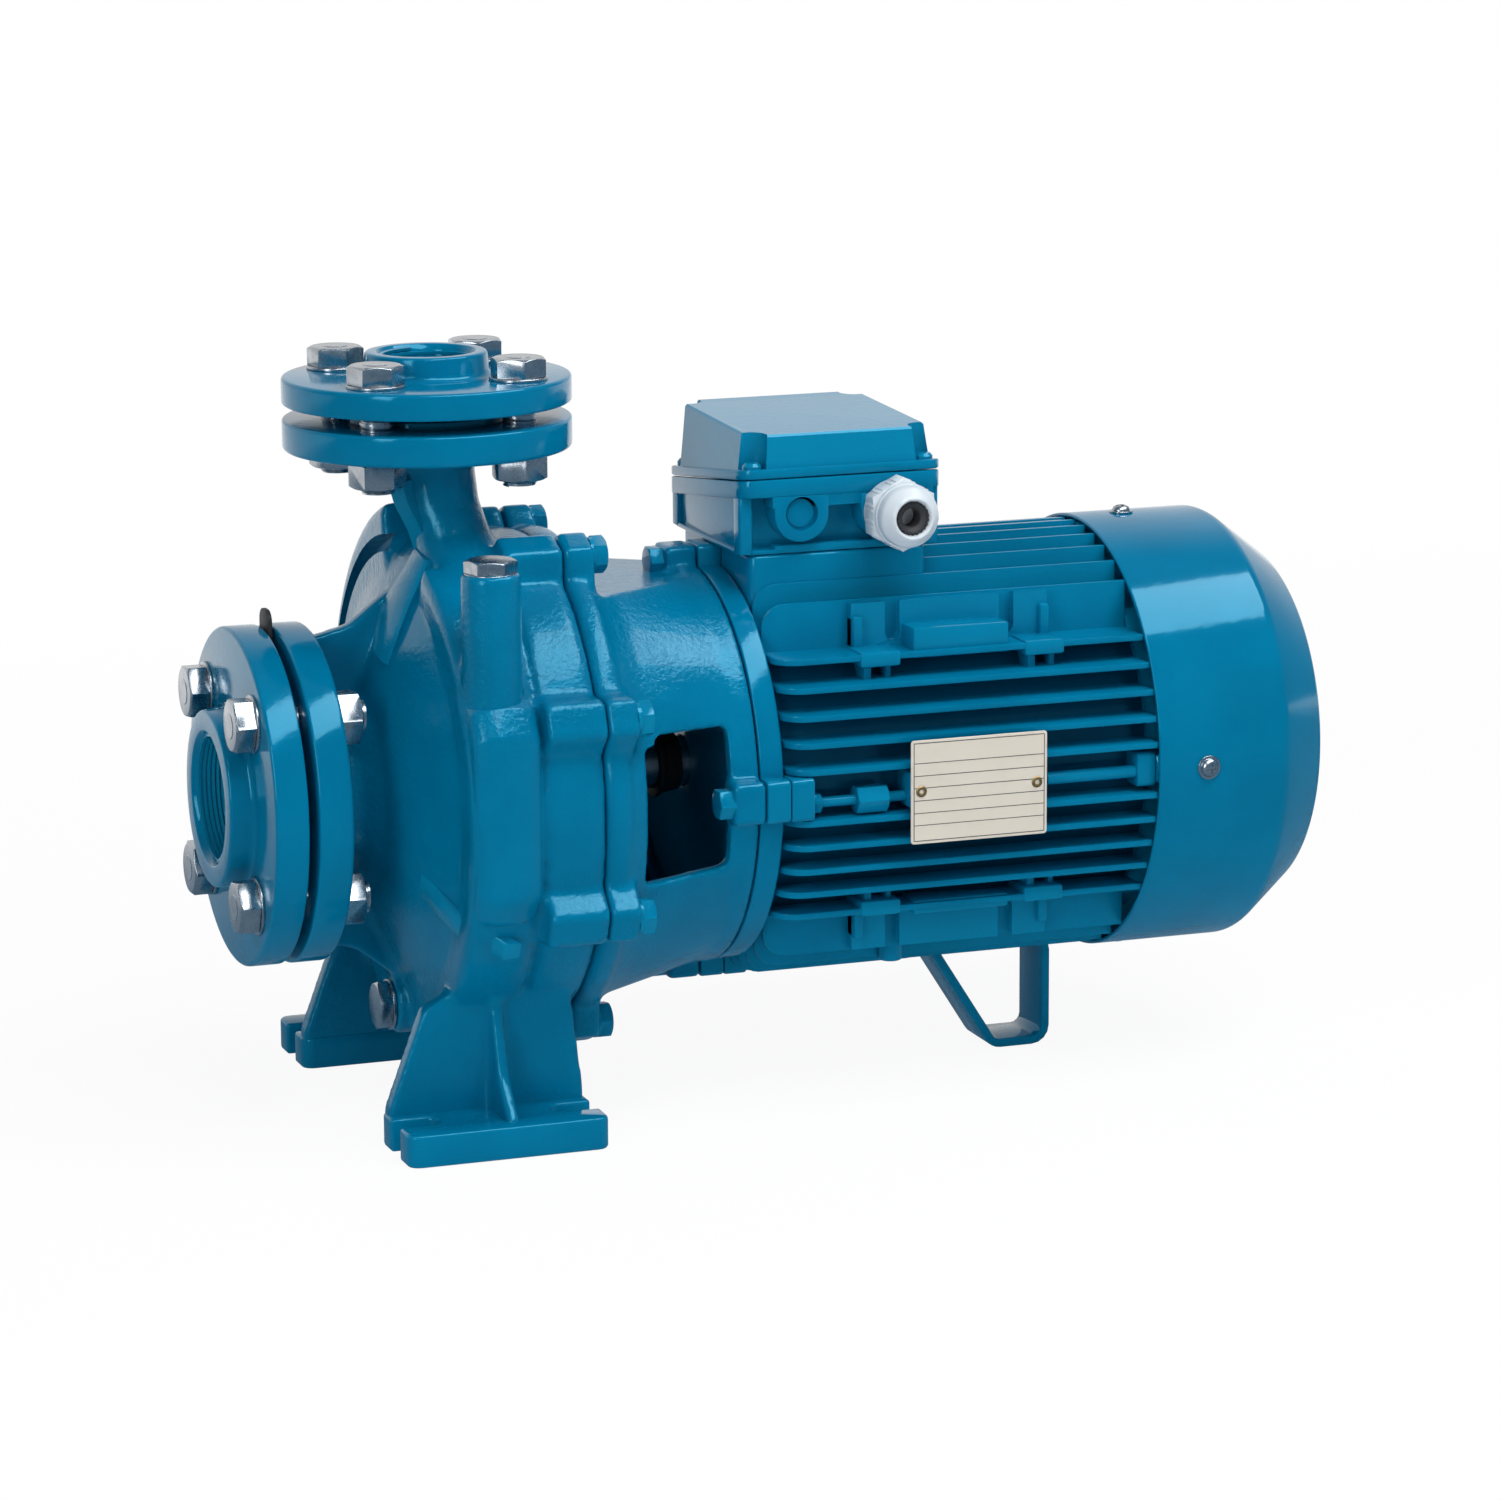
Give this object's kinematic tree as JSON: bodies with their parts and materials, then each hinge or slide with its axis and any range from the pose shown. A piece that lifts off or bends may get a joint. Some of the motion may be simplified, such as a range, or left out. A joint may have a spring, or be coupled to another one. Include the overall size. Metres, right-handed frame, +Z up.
{
  "type": "close-coupled centrifugal pump",
  "caption": "Close-coupled end-suction water pump: cast volute casing with screwed counter-flanges, open lantern, finned electric motor with terminal box, fan cover and feet.",
  "frame": {"origin": "on the floor under the middle of the pump, midway between the suction hub's face and the fan cover's end", "axes": "+X along the shaft from the suction to the fan, +Z up through the discharge, -Y the side with the cable gland"},
  "size_m": [0.5512, 0.2544, 0.3718],
  "materials": {
    "enamel": "glossy petrol-blue enamel, one coat over castings and sheet",
    "rubber": "matt black",
    "zinc": "bright zinc plate",
    "gland_plastic": "satin light grey polyamide",
    "steel": "turned",
    "bronze": "cast",
    "fan_plastic": "moulded black"
  },
  "bodies": {
    "stator": {"pump_casing": "enamel", "casing_cover": "enamel", "lantern_bracket": "enamel", "suction_counter_flange": "enamel", "discharge_counter_flange": "enamel", "suction_gasket": "rubber", "discharge_gasket": "rubber", "priming_plug": "zinc", "drain_plug": "zinc", "motor_end_shield": "enamel", "motor_frame": "enamel", "rear_end_shield": "enamel", "fan_cover": "enamel", "fan_cover_grille": "enamel", "terminal_box_base": "enamel", "terminal_box_lid": "enamel", "gland_body": "gland_plastic", "gland_cap": "gland_plastic", "gland_seal": "rubber", "motor_support_strap": "enamel"},
    "rotor": {"motor_shaft": "steel", "impeller": "bronze", "shaft_slinger": "rubber", "cooling_fan": "fan_plastic"}
  },
  "joints": [
    {"name": "rotor_spin", "type": "hinge", "parent": "stator", "child": "rotor", "pos_m": [0, 0, 0.16], "axis": [1, 0, 0], "continuous": true}
  ]
}
